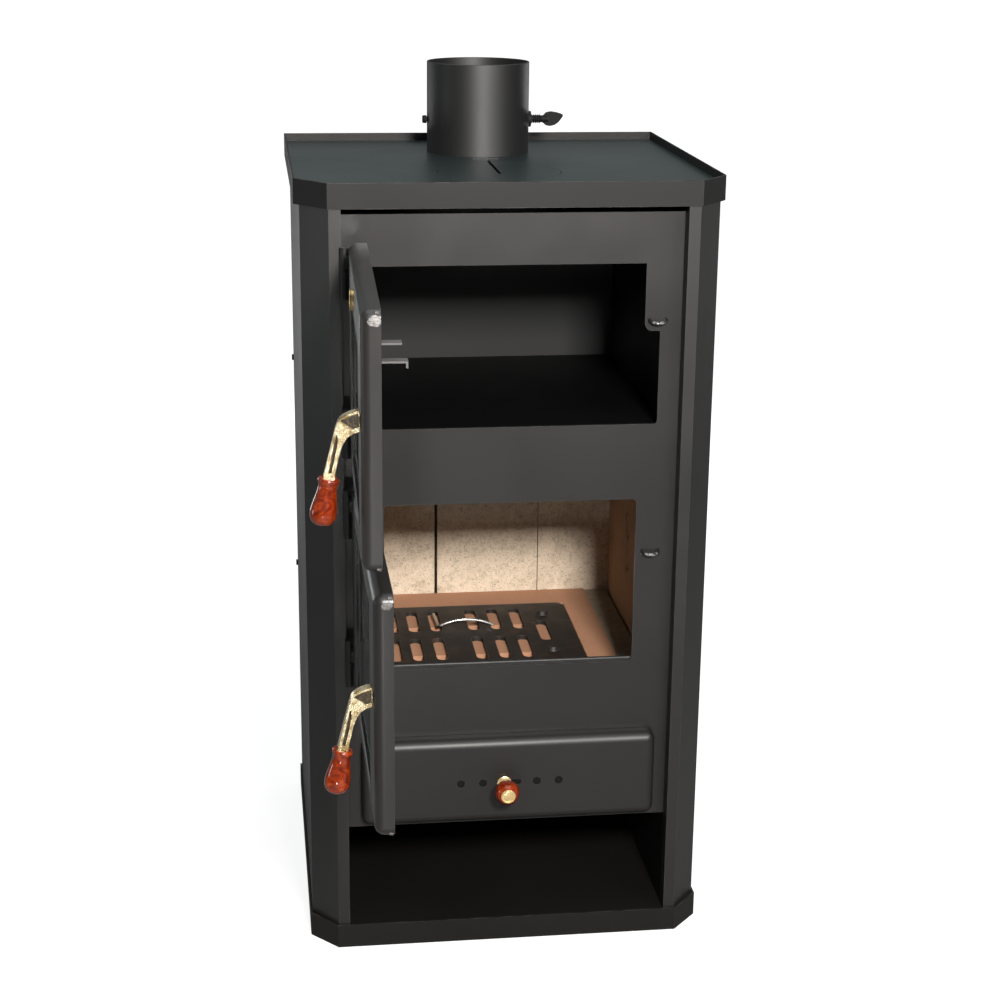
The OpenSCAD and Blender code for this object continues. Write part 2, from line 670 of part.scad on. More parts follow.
// Bent steel strip on the inner side of the oven door
module oven_inner_hook() color(steel) swing(oven_open_deg) {
    x0 = 118;
    x1 = 132;
    top = 833;
    low = 815;
    foot = door_face + door_sheet + 6;
    t = 2;
    block([x0, foot, low - 6], [x1, foot + t, top + 4]);
    block([x0, foot, top - t], [x1, door_back + 22, top]);
    block([x0, foot, low - t], [x1, door_back + 28, low]);
    block([x0, door_back + 28 - t, low - 7], [x1, door_back + 28, low]);
}

// ---- hob lid ----
module hob_lid() color(black) difference() {
    translate([0, lid_y, 0]) {
        translate([0, 0, hob_z - lid_seat + fit]) cylinder(d = lid_d - 1, h = lid_seat - fit, $fn = 96);
        translate([0, 0, hob_z - hob_t]) cylinder(d = lid_d - 16, h = hob_t - lid_seat + fit, $fn = 96);
    }
    relief_slot(0, lid_y - 20);
}
base_tray();
left_casing();
right_casing();
back_panel();
top_rim();
hob_plate();
flue_collar();
damper_bushes();
front_panel();
door_staples();
hinge_pins();
oven_floor();
oven_ceiling();
oven_side_walls();
oven_back_wall();
body_side_walls();
body_back_wall();
baffle_plate();
brick_shelf();
ash_floor();
back_bricks();
side_bricks();
floor_brick();
ledge_boards();
log_guard();
drawer_runners();
bay_walls();
casing_screws();
grate();
grate_handle();
hob_lid();
damper_plate();
damper_shaft();
damper_spring();
ash_drawer_box();
ash_drawer_front();
air_slide();
air_knob_stem();
air_knob();
oven_door_shell();
oven_glass();
oven_glass_frame();
oven_gasket();
oven_knuckles();
thermometer_case();
thermometer_needle();
oven_inner_hook();
oven_lever();
oven_grip();
oven_spindle();
fire_door_shell();
fire_glass();
fire_glass_frame();
fire_gasket();
fire_knuckles();
fire_lever();
fire_grip();
fire_spindle();
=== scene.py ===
import json
import math
import random

import bmesh
import bpy
from mathutils import Matrix, Vector

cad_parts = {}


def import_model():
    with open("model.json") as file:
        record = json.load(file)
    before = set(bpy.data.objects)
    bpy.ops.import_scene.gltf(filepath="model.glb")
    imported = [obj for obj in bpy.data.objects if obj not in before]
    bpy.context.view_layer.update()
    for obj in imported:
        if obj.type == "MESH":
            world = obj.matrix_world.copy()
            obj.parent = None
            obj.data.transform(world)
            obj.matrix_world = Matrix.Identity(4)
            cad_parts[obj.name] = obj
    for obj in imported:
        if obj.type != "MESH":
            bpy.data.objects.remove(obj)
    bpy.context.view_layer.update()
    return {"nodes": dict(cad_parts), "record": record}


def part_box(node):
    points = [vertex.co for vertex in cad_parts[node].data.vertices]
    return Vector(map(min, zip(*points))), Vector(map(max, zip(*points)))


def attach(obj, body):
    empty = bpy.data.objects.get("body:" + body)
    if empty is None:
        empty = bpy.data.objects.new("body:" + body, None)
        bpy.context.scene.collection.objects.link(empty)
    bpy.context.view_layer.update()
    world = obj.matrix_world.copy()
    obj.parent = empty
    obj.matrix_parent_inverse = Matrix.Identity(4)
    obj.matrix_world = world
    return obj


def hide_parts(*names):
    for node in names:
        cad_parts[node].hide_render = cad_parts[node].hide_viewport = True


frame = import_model()
NODES = frame["nodes"]
JOINTS = {j["name"]: j for j in frame["record"]["behaviour"]["joints"]}
TAU = 2 * math.pi

# the camera, fitted to the edges of the stove in the photograph
CAMERA_PLACE = (-0.29853, -2.40288, 1.24007)
CAMERA_YAW, CAMERA_PITCH, CAMERA_ROLL = (math.radians(a) for a in (7.435, -17.029, 0.613))
SENSOR = 36
FOCAL = 70.69032
SHEET = 0.002            # pressed steel of the doors and the drawer front
PRESS_RADIUS = 0.0105    # rounded front edge of a door
GLASS_LAP = 0.009        # how far a pane reaches behind the edge of its window
LEVER_GAP = 0.0003       # between a door's face and its lever


# ------------------------------------------------------------------ camera
def camera():
    yaw, pitch, roll = CAMERA_YAW, CAMERA_PITCH, CAMERA_ROLL
    fwd = Vector((math.sin(yaw) * math.cos(pitch), math.cos(yaw) * math.cos(pitch), math.sin(pitch)))
    right = Vector((math.cos(yaw), -math.sin(yaw), 0))
    up = right.cross(fwd)
    r2 = right * math.cos(roll) + up * math.sin(roll)
    u2 = up * math.cos(roll) - right * math.sin(roll)
    cam = bpy.data.objects.new("camera", bpy.data.cameras.new("camera"))
    bpy.context.scene.collection.objects.link(cam)
    m = Matrix((r2, u2, -fwd)).transposed().to_4x4()
    m.translation = Vector(CAMERA_PLACE)
    cam.matrix_world = m
    cam.data.sensor_width = SENSOR
    cam.data.lens = FOCAL
    cam.data.clip_end = 200
    bpy.context.scene.camera = cam


# ------------------------------------------------------------------ materials
class Mat:
    """Small helper that wires a node material."""

    def __init__(self, name):
        self.m = bpy.data.materials.new(name)
        self.m.use_nodes = True
        self.t = self.m.node_tree
        self.t.nodes.clear()
        self.out = self.t.nodes.new("ShaderNodeOutputMaterial")
        self.b = self.t.nodes.new("ShaderNodeBsdfPrincipled")
        self.t.links.new(self.b.outputs[0], self.out.inputs[0])
        self.co = self.t.nodes.new("ShaderNodeTexCoord").outputs["Object"]

    def node(self, kind, inputs=(), **props):
        n = self.t.nodes.new(kind)
        for k, v in props.items():
            setattr(n, k, v)
        for k, v in dict(inputs).items():
            if isinstance(v, bpy.types.NodeSocket):
                self.t.links.new(v, n.inputs[k])
            else:
                n.inputs[k].default_value = v
        return n

    def set(self, **values):
        for k, v in values.items():
            k = k.replace("_", " ")
            if isinstance(v, bpy.types.NodeSocket):
                self.t.links.new(v, self.b.inputs[k])
            else:
                self.b.inputs[k].default_value = v
        return self

    def scaled(self, x=1, y=1, z=1, turn=(0, 0, 0)):
        n = self.node("ShaderNodeMapping", {"Vector": self.co})
        n.inputs["Scale"].default_value = (x, y, z)
        n.inputs["Rotation"].default_value = turn
        return n.outputs[0]

    def noise(self, scale, detail=3, rough=0.5, co=None, warp=0.0):
        wanted = {"Vector": co or self.co, "Scale": scale, "Detail": detail, "Roughness": rough, "Distortion": warp}
        return self.node("ShaderNodeTexNoise", wanted).outputs[0]

    def remap(self, v, a, b, c=0.0, d=1.0):
        return self.node("ShaderNodeMapRange", {0: v, 1: a, 2: b, 3: c, 4: d}).outputs[0]

    def ramp(self, v, *stops):
        n = self.node("ShaderNodeValToRGB", {0: v})
        e = n.color_ramp.elements
        while len(e) < len(stops):
            e.new(0.5)
        for s, (p, c) in zip(e, stops):
            s.position = p
            s.color = (*c, 1)
        return n.outputs[0]

    def mix(self, f, a, b, mode="MIX"):
        n = self.node("ShaderNodeMix", data_type="RGBA", blend_type=mode)
        for i, v in ((0, f), (6, a), (7, b)):
            if isinstance(v, bpy.types.NodeSocket):
                self.t.links.new(v, n.inputs[i])
            else:
                n.inputs[i].default_value = v if i == 0 else (v, v, v, 1) if isinstance(v, float) else (*v, 1)
        return n.outputs[2]

    def math(self, op, a, b=0.0):
        return self.node("ShaderNodeMath", {0: a, 1: b}, operation=op).outputs[0]

    def xyz(self, i):
        return self.node("ShaderNodeSeparateXYZ", {0: self.co}).outputs[i]

    def bump(self, *layers):
        """Each layer is (height, strength, distance in metres)."""
        last = None
        for h, s, d in layers:
            n = self.node("ShaderNodeBump", {"Height": h, "Strength": s, "Distance": d})
            if last:
                self.t.links.new(last, n.inputs["Normal"])
            last = n.outputs[0]
        self.t.links.new(last, self.b.inputs["Normal"])
        return self

    def edges(self, radius=0.0012):
        """1 near worn edges and corners, 0 on open faces."""
        bev = self.node("ShaderNodeBevel", {"Radius": radius}, samples=4).outputs[0]
        geo = self.node("ShaderNodeNewGeometry").outputs["Normal"]
        dot = self.node("ShaderNodeVectorMath", {0: bev, 1: geo}, operation="DOT_PRODUCT").outputs["Value"]
        return self.remap(dot, 0.98, 0.80)


def paint(name, base, rough=0.43, spread=0.08, gloss=0.55, wear=0.35, weld=None):
    m = Mat(name)
    cloud = m.noise(5, 4, 0.6)
    grain = m.noise(900, 3, 0.7)
    dust = m.remap(m.noise(240, 2, 0.6), 0.64, 0.80)
    col = m.mix(cloud, [c * 0.88 for c in base], [c * 1.14 for c in base])
    col = m.mix(m.remap(grain, 0.3, 0.7), [c * 0.8 for c in base], col)
    col = m.mix(m.math("MULTIPLY", dust, 0.2), col, [c * 1.8 for c in base])
    worn = m.math("MULTIPLY", m.edges(), m.remap(m.noise(60, 3), 0.35, 0.75, 0, wear))
    col = m.mix(worn, col, (0.17, 0.165, 0.16))
    r = m.remap(cloud, 0.3, 0.7, rough - spread / 2, rough + spread / 2)
    r = m.math("ADD", r, m.remap(grain, 0.3, 0.7, 0.03, -0.03))
    m.set(**{"Specular IOR Level": gloss})
    bumps = [(m.noise(1500, 2, 0.6), 0.16, 0.00012), (m.noise(14, 2), 0.08, 0.0006)]
    if weld:  # ground weld that shows through the paint round one point, its light tone partly bare weld and partly a painted highlight
        at, size, tone = weld
        d = m.node("ShaderNodeVectorMath", {0: m.co, 1: at}, operation="SUBTRACT").outputs[0]
        d = m.node("ShaderNodeVectorMath", {0: d, 1: [1 / v for v in size]}, operation="MULTIPLY").outputs[0]
        d = m.node("ShaderNodeVectorMath", {0: d}, operation="LENGTH").outputs["Value"]
        d = m.math("ADD", d, m.remap(m.noise(170, 4, 0.7), 0.3, 0.7, -0.3, 0.3))
        near = m.remap(d, 1.0, 0.85)
        rip = m.noise(330, 4, 0.75, m.scaled(1, 1, 2.2))
        col = m.mix(near, col, m.mix(m.remap(rip, 0.38, 0.55), (0.06, 0.055, 0.055), tone))
        r = m.mix(near, r, 0.42)
        bumps.append((m.math("MULTIPLY", rip, near), 0.9, 0.0008))
        m.set(Metallic=m.math("MULTIPLY", near, 0.2))
    m.set(Base_Color=col, Roughness=m.math("SUBTRACT", r, m.math("MULTIPLY", worn, 0.1)))
    return m.bump(*bumps).m


def cast(name, base, rough, scale=320, rust=0.0, metallic=0.6):
    m = Mat(name)
    grain = m.noise(scale, 4, 0.7)
    patch = m.noise(18, 4, 0.65)
    col = m.mix(patch, [c * 0.7 for c in base], [c * 1.3 for c in base])
    col = m.mix(m.remap(m.noise(40, 5, 0.7), 0.55, 0.8, 0, rust), col, (0.16, 0.075, 0.035))
    col = m.mix(m.math("MULTIPLY", m.edges(), 0.4), col, (0.22, 0.20, 0.18))
    m.set(Base_Color=col, Roughness=m.remap(patch, 0.3, 0.7, rough - 0.08, rough + 0.12), Metallic=metallic)
    return m.bump((grain, 0.5, 0.0004), (m.noise(70, 3), 0.25, 0.0008)).m


def brass_mat(name, bright=(0.92, 0.80, 0.54), dull=(0.34, 0.24, 0.10), pitted=0.25, rough=0.24, metal=0.82):
    m = Mat(name)
    pits = m.noise(520, 4, 0.75)
    patch = m.noise(75, 3, 0.6)
    tone = m.mix(m.remap(patch, 0.38, 0.58), dull, bright)
    rubbed = m.remap(m.edges(0.0009), 0.0, 0.5, 1.0, 0.15)
    pit = m.math("MULTIPLY", m.remap(pits, 0.40, 0.50, pitted, 0.0), rubbed)
    m.set(Base_Color=m.mix(pit, tone, (0.12, 0.085, 0.04)), Metallic=metal,
          Roughness=m.remap(pit, 0, 0.7, rough, rough + 0.25))
    return m.bump((pits, 0.3 + pitted * 0.4, 0.00035)).m


def burl(name):
    m = Mat(name)
    swirl = m.noise(70, 5, 0.62, warp=1.8)
    eyes = m.node("ShaderNodeTexVoronoi", {"Vector": m.co, "Scale": 210.0}).outputs["Distance"]
    line = m.noise(30, 4, 0.55, m.scaled(1, 1, 0.35), warp=2.2)
    col = m.ramp(swirl, (0.28, (0.030, 0.003, 0.001)), (0.47, (0.105, 0.010, 0.0010)),
                 (0.6, (0.19, 0.021, 0.002)), (0.76, (0.31, 0.050, 0.005)))
    col = m.mix(m.remap(eyes, 0.0, 0.35, 0.6, 0.0), col, (0.075, 0.008, 0.003))
    col = m.mix(m.remap(line, 0.52, 0.64, 0, 0.5), col, (0.10, 0.010, 0.003))
    m.set(Base_Color=col, Roughness=0.4, Coat_Weight=1.0, Coat_Roughness=0.03)
    m.set(**{"Specular IOR Level": 0.05})
    return m.bump((m.noise(26, 2), 0.05, 0.0006)).m


def board(name, base, fleck=1.0, marks=False):
    m = Mat(name)
    cloud = m.noise(9, 4, 0.6)
    fine = m.noise(420, 3, 0.7)
    col = m.mix(cloud, [c * 0.88 for c in base], [c * 1.10 for c in base])
    col = m.mix(m.remap(fine, 0.35, 0.7, 0, 0.45), col, [c * 0.74 for c in base])
    blot = m.math("MULTIPLY", m.remap(m.noise(170, 3, 0.65), 0.50, 0.66), 0.55 * fleck)
    col = m.mix(blot, col, [base[0] * 0.52, base[1] * 0.55, base[2] * 0.53])
    smoke = m.math("MULTIPLY", m.remap(m.noise(26, 5, 0.68, warp=0.6), 0.46, 0.72), 0.38 * fleck)
    col = m.mix(smoke, col, (0.20, 0.14, 0.085))
    for scale, low, high, tone, amount, share in ((330, 0.30, 0.14, (0.12, 0.10, 0.075), 0.62, 0.58),
                                                  (190, 0.22, 0.10, (0.085, 0.07, 0.052), 0.7, 0.74),
                                                  (560, 0.36, 0.18, (0.17, 0.13, 0.09), 0.7, 0.45)):
        v = m.node("ShaderNodeTexVoronoi", {"Vector": m.co, "Scale": float(scale), "Randomness": 1.0})
        pick = m.remap(m.node("ShaderNodeSeparateColor", {0: v.outputs["Color"]}).outputs[0], share, share + 0.04)
        spot = m.math("MULTIPLY", m.remap(v.outputs["Distance"], low, high), pick)
        col = m.mix(m.math("MULTIPLY", spot, amount * fleck), col, tone)
    light = m.remap(m.noise(700, 2, 0.5), 0.66, 0.74, 0, 0.45 * fleck)
    col = m.mix(light, col, (0.95, 0.86, 0.66))
    bumps = [(fine, 0.45, 0.0005), (m.noise(60, 3), 0.3, 0.001)]
    if marks:  # two wavy hairline cracks that climb the side board
        wave = m.math("MULTIPLY", m.math("SUBTRACT", m.noise(34, 3, 0.6, m.scaled(0.2, 0.2, 1.0)), 0.5), 0.075)
        lean = m.math("MULTIPLY", m.math("SUBTRACT", m.xyz(2), 0.424), 0.15)
        for shift, seed in ((0.034, 1.0), (0.026, 1.35)):
            course = m.math("ADD", m.math("MULTIPLY", wave, seed), lean)
            off = m.math("SUBTRACT", m.math("SUBTRACT", m.xyz(1), shift), course)
            line = m.remap(m.math("ABSOLUTE", off), 0.0024, 0.0008)
            part = m.remap(m.noise(48 * seed, 2, 0.5, m.scaled(0.3, 0.3, 1.0)), 0.44, 0.50)
            zone = m.math("MULTIPLY", m.remap(m.xyz(2), 0.378, 0.390), m.remap(m.xyz(2), 0.470, 0.462))
            k = m.math("MULTIPLY", m.math("MULTIPLY", line, part), zone)
            col = m.mix(m.math("MULTIPLY", k, 0.85), col, (0.02, 0.011, 0.008))
    m.set(Base_Color=col, Roughness=0.92)
    m.set(**{"Specular IOR Level": 0.25})
    return m.bump(*bumps).m


def rope_mat(name):
    m = Mat(name)
    turned = m.scaled(turn=(0.6, 0.5, 0.4))
    knit = m.node("ShaderNodeTexWave", {"Vector": turned, "Scale": 260.0, "Distortion": 2.0}).outputs[1]
    col = m.mix(knit, (0.02, 0.02, 0.02), (0.075, 0.072, 0.068))
    m.set(Base_Color=col, Roughness=0.95, Sheen_Weight=0.2)
    return m.bump((knit, 0.7, 0.0006)).m


def glass_mat(name):
    m = Mat(name)
    haze = m.noise(14, 4, 0.6)
    m.set(Base_Color=m.mix(haze, (0.42, 0.47, 0.44), (0.55, 0.60, 0.57)),
          Roughness=m.remap(haze, 0.4, 0.8, 0.015, 0.09), Transmission_Weight=0.92, IOR=1.47)
    return m.bump((m.noise(9, 2), 0.03, 0.0005)).m


def steel(name, base, rough, metallic=1.0, wear_and_highlight_depth=None):
    m = Mat(name)
    n = m.noise(300, 3, 0.6)
    col = m.mix(n, [c * 0.8 for c in base], [c * 1.15 for c in base])
    if wear_and_highlight_depth:  # lighter in front of this depth: partly wear, partly a painted highlight on the upward faces
        normal = m.node("ShaderNodeNewGeometry").outputs["Normal"]
        upward = m.node("ShaderNodeSeparateXYZ", {0: normal}).outputs[2]
        w = m.math("MULTIPLY", m.remap(m.xyz(1), wear_and_highlight_depth + 0.002, wear_and_highlight_depth - 0.002), m.remap(m.noise(260, 3), 0.40, 0.52))
        # painted highlight: the upward faces, where the light falls, come out lighter
        w = m.math("MULTIPLY", w, m.remap(upward, -0.5, 0.5))
        col = m.mix(w, col, (0.30, 0.29, 0.285))
        m.set(Metallic=m.math("MULTIPLY", w, 0.4))
    else:
        m.set(Metallic=metallic)
    m.set(Base_Color=col, Roughness=m.remap(n, 0.3, 0.7, rough - 0.06, rough + 0.08))
    return m.bump((n, 0.06, 0.0001)).m


def dial_mat(name):
    m = Mat(name)
    n = m.noise(180, 3)
    m.set(Base_Color=m.mix(n, (0.55, 0.53, 0.47), (0.70, 0.68, 0.61)), Roughness=0.5)
    return m.bump((n, 0.05, 0.0001)).m


M = {
    "casing": paint("casing_paint", (0.0085, 0.0079, 0.0078)),
    "rim": paint("rim_paint", (0.0052, 0.0048, 0.0048), rough=0.52, gloss=0.28, wear=0.6),
    "base": paint("base_paint", (0.0058, 0.0050, 0.0046), rough=0.50, gloss=0.28),
    "panel": paint("panel_paint", (0.0092, 0.0079, 0.0076), rough=0.37),
    "drawer": paint("drawer_paint", (0.0086, 0.0073, 0.0068), rough=0.47, gloss=0.46),
    # dark hob paint tinted teal: the tint is a painted reflection of the backdrop
    "hob": paint("hob_paint_and_painted_reflection", (0.0080, 0.0150, 0.0150), rough=0.37),
    "flue": paint("flue_paint", (0.0042, 0.0041, 0.0042), rough=0.50, spread=0.04, gloss=0.6),
    "oven": paint("oven_enamel", (0.0050, 0.0050, 0.0056), rough=0.50, gloss=0.38, wear=0.15),
    "oven_floor": paint("oven_floor_enamel", (0.0016, 0.0016, 0.0018), rough=0.6, gloss=0.10, wear=0.1),
    "bay": paint("bay_enamel", (0.0028, 0.0026, 0.0025), rough=0.6, gloss=0.22, wear=0.1),
    "body": cast("body_steel", (0.014, 0.014, 0.015), 0.6, metallic=0.1),
    "grate": cast("cast_grate", (0.016, 0.0135, 0.012), 0.55, rust=0.35, metallic=0.25),
    "black": steel("blackened_steel", (0.016, 0.0155, 0.0155), 0.46, 0.4),
    "iron": paint("dark_iron", (0.0045, 0.0048, 0.0050), rough=0.62, gloss=0.15, wear=0.5),
    # staple wire: lighter top from wear and from a painted highlight
    "staple": steel("worn_wire", (0.008, 0.008, 0.008), 0.35, wear_and_highlight_depth=-0.2243),
    # air slide painted dark: painted shade seen through the drawer's holes
    "painted_hole_shade": paint("slide_painted_hole_shade", (0.0034, 0.0031, 0.0031), rough=0.7, gloss=0.15),
    "hook": steel("hook_steel", (0.105, 0.10, 0.098), 0.5, 0.4),
    "bright": steel("bright_steel", (0.50, 0.49, 0.48), 0.30),
    "weld": steel("weld_bead", (0.10, 0.095, 0.092), 0.5, 0.5),
    "board": board("fire_board", (0.68, 0.565, 0.435)),
    "side_board": board("side_board", (0.42, 0.28, 0.18), 0.45, True),
    "ledge": board("ledge_board", (0.36, 0.30, 0.225)),
    "clay": board("fire_clay", (0.43, 0.222, 0.130), 0.2),
    "brass": brass_mat("cast_brass"),
    # near-black brass: painted shade in the lever's hollows and on the spindles
    "brass_painted_shade": brass_mat("brass_hollow_painted_shade", (0.012, 0.008, 0.004), (0.004, 0.003, 0.002), 0.85, 0.7, 0.2),
    "brass_smooth": brass_mat("turned_brass", (0.86, 0.66, 0.34), (0.76, 0.56, 0.27), 0.08, 0.2, 0.72),
    "bezel": brass_mat("bezel_brass", (0.80, 0.60, 0.26), (0.16, 0.105, 0.04), 0.5, 0.28, 0.85),
    "dial": dial_mat("dial_face"),
    "burl": burl("burl_wood"),
    "glass": glass_mat("door_glass"),
    "rope": rope_mat("gasket_rope"),
}


# ------------------------------------------------------------------ mesh helpers
def smooth(mesh, angle=40):
    mesh.polygons.foreach_set("use_smooth", [True] * len(mesh.polygons))
    mesh.set_sharp_from_angle(angle=math.radians(angle))


def link(name, mesh, mat):
    o = bpy.data.objects.new(name, mesh)
    bpy.context.scene.collection.objects.link(o)
    mesh.materials.clear()
    mesh.materials.append(M[mat])
    return o


def baked(o, angle=40):
    """Applies o's modifiers and returns o."""
    weighted = "normals" in o.modifiers
    if weighted:
        smooth(o.data, 180)
    dg = bpy.context.evaluated_depsgraph_get()
    new = bpy.data.meshes.new_from_object(o.evaluated_get(dg))
    old = o.data
    o.modifiers.clear()
    o.data = new
    bpy.data.meshes.remove(old)
    new.name = o.name
    if not weighted:
        smooth(new, angle)
    return o


def softened(o):
    s = o.modifiers.new("soft", "SUBSURF")
    s.levels = s.render_levels = 1
    return baked(o, 180)


def cut_away(o, cutters):
    """Cuts the cutters out of o, applies its modifiers and deletes the cutters."""
    for c in cutters:
        b = o.modifiers.new("cut", "BOOLEAN")
        b.operation, b.object, b.solver = "DIFFERENCE", c, "EXACT"
    baked(o)
    for c in cutters:
        bpy.data.objects.remove(c)


def node_box(node):
    return [Vector(c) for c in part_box(node)]


def in_metres(pts):
    return [(a / 1000, b / 1000) for a, b in pts]


def finish_piece(o, body, slot, *nodes):
    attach(o, body)
    if nodes:
        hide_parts(*nodes)
    return o


def bevel(o, width, segments=2, angle=35):
    b = o.modifiers.new("bevel", "BEVEL")
    b.width, b.segments, b.limit_method, b.angle_limit = width, segments, "ANGLE", math.radians(angle)
    b.use_clamp_overlap = True
    w = o.modifiers.new("normals", "WEIGHTED_NORMAL")
    w.keep_sharp = False
    w.weight = 100
    return b


def from_bm(name, bm, mat):
    mesh = bpy.data.meshes.new(name)
    bmesh.ops.recalc_face_normals(bm, faces=bm.faces)
    bm.to_mesh(mesh)
    bm.free()
    return link(name, mesh, mat)


def extrude_outline(name, pts, height, mat, m=Matrix()):
    """Prism of a closed outline in the XY plane, from z 0 to height, moved by m."""
    bm = bmesh.new()
    low = [bm.verts.new(m @ Vector((x, y, 0))) for x, y in pts]
    high = [bm.verts.new(m @ Vector((x, y, height))) for x, y in pts]
    bm.faces.new(low[::-1])
    bm.faces.new(high)
    for i in range(len(pts)):
        j = (i + 1) % len(pts)
        bm.faces.new((low[i], low[j], high[j], high[i]))
    return from_bm(name, bm, mat)


def lathe(name, profile, mat, m=Matrix(), segs=48):
    """Revolves (radius, height) points about Z, then moves the piece by m."""
    bm = bmesh.new()
    rings = []
    for r, z in profile:
        if r < 1e-6:
            rings.append([bm.verts.new(m @ Vector((0, 0, z)))])
        else:
            turns = [TAU * i / segs for i in range(segs)]
            rings.append([bm.verts.new(m @ Vector((r * math.cos(t), r * math.sin(t), z))) for t in turns])
    for a, b in zip(rings, rings[1:]):
        for i in range(segs):
            j = (i + 1) % segs
            quad = [a[i % len(a)], a[j % len(a)], b[j % len(b)], b[i % len(b)]]
            quad = list(dict.fromkeys(quad))
            if len(quad) > 2:
                bm.faces.new(quad)
    return from_bm(name, bm, mat)


def sweep(name, path, radius, mat, closed=False, segs=12):
    """A tube along path; radius is a number or a function of the ring's index and the angle."""
    bm = bmesh.new()
    n = len(path)
    rings = []
    side = None
    for i, p in enumerate(path):
        a = path[(i - 1) % n] if closed or i else path[i]
        b = path[(i + 1) % n] if closed or i < n - 1 else path[i]
        d = (Vector(b) - Vector(a)).normalized()
        if side is None:
            side = d.orthogonal().normalized()
        side = (side - d * side.dot(d)).normalized()
        up = d.cross(side)
        ring = []
        for k in range(segs):
            t = TAU * k / segs
            r = radius(i, t) if callable(radius) else radius
            ring.append(bm.verts.new(Vector(p) + (side * math.cos(t) + up * math.sin(t)) * r))
        rings.append(ring)
    for i in range(n if closed else n - 1):
        a, b = rings[i], rings[(i + 1) % n]
        for k in range(segs):
            bm.faces.new((a[k], a[(k + 1) % segs], b[(k + 1) % segs], b[k]))
    if not closed:
        bm.faces.new(rings[0][::-1])
        bm.faces.new(rings[-1])
    return from_bm(name, bm, mat)


def fillet(pts, r, steps):
    """Rounds the corners of a closed flat outline."""
    out = []
    n = len(pts)
    for i, p in enumerate(pts):
        p = Vector(p)
        a = (Vector(pts[i - 1]) - p).normalized()
        b = (Vector(pts[(i + 1) % n]) - p).normalized()
        half = a.angle(b) / 2
        d = r / math.tan(half)
        c = p + (a + b).normalized() * (r / math.sin(half))
        s, e = p + a * d - c, p + b * d - c
        turn = s.angle_signed(e)
        for k in range(steps + 1):
            q = s.copy()
            q.rotate(Matrix.Rotation(-turn * k / steps, 2))
            out.append(tuple(c + q))
    return out


def swung(door):
    """Matrix from the closed door to the open one of the rest pose."""
    j = JOINTS[door + "_door_hinge"]
    p, a = Vector(j["pos_m"]), math.radians(j["range_deg"][1])
    return Matrix.Translation(p) @ Matrix.Rotation(-a, 4, "Z") @ Matrix.Translation(-p)


def closed_box(door, node):
    """Corners of the box round a door's CAD node, as it stands when the door is closed."""
    m = swung(door).inverted()
    pts = [m @ v.co for v in NODES[node].data.vertices]
    return [Vector([end(p[i] for p in pts) for i in range(3)]) for end in (min, max)]


def pan(name, lo, hi, r, mat, cutters):
    """A pressed sheet pan whose front (-Y) edges and corners are rounded, open at the back."""
    bm = bmesh.new()
    bmesh.ops.create_cube(bm, size=1)
    size, mid = hi - lo, (hi + lo) / 2
    for v in bm.verts:
        v.co = Vector((v.co.x * size.x, v.co.y * size.y, v.co.z * size.z)) + mid
    front = [e for e in bm.edges if all(v.co.y < mid.y for v in e.verts)]
    deep = [e for e in bm.edges if abs(e.verts[0].co.y - e.verts[1].co.y) > size.y / 2]
    bmesh.ops.bevel(bm, geom=front + deep, offset=r, segments=6, profile=0.5, affect="EDGES")
    back = [f for f in bm.faces if all(abs(v.co.y - hi.y) < 1e-6 for v in f.verts)]
    bmesh.ops.delete(bm, geom=back, context="FACES")
    o = from_bm(name, bm, mat)
    s = o.modifiers.new("wall", "SOLIDIFY")
    s.thickness, s.offset = SHEET, -1
    cut_away(o, cutters)
    bevel(o, 0.0006, 2, 50)
    return baked(o)


def facing_front(x, y, z):
    """Matrix that stands the XY plane up in XZ, its Z axis towards -Y."""
    return Matrix.Translation((x, y, z)) @ Matrix.Rotation(math.radians(90), 4, "X")


def rect_pts(x0, x1, z0, z1, r, steps=6):
    return fillet([(x0, z0), (x1, z0), (x1, z1), (x0, z1)], r, steps)


def circle_pts(x, z, r, n=24):
    return [(x + r * math.cos(TAU * i / n), z + r * math.sin(TAU * i / n)) for i in range(n)]


def bead(name, ends, width, mat, body, slot, seed):
    """A small weld bead: overlapping ripples along a short line."""
    rnd = random.Random(seed)
    a, b = Vector(ends[0]), Vector(ends[1])
    n = max(8, int((b - a).length / 0.0008))
    jit = [rnd.uniform(0.75, 1.1) for _ in range(n + 1)]
    pts = [a.lerp(b, i / n) for i in range(n + 1)]

    def ripple(i, t):
        return width / 2 * jit[i] * (0.45 if i in (0, n) else 1) * (1 + 0.12 * math.sin(i * 1.9))

    return finish_piece(softened(sweep(name, pts, ripple, mat, segs=10)), body, slot)


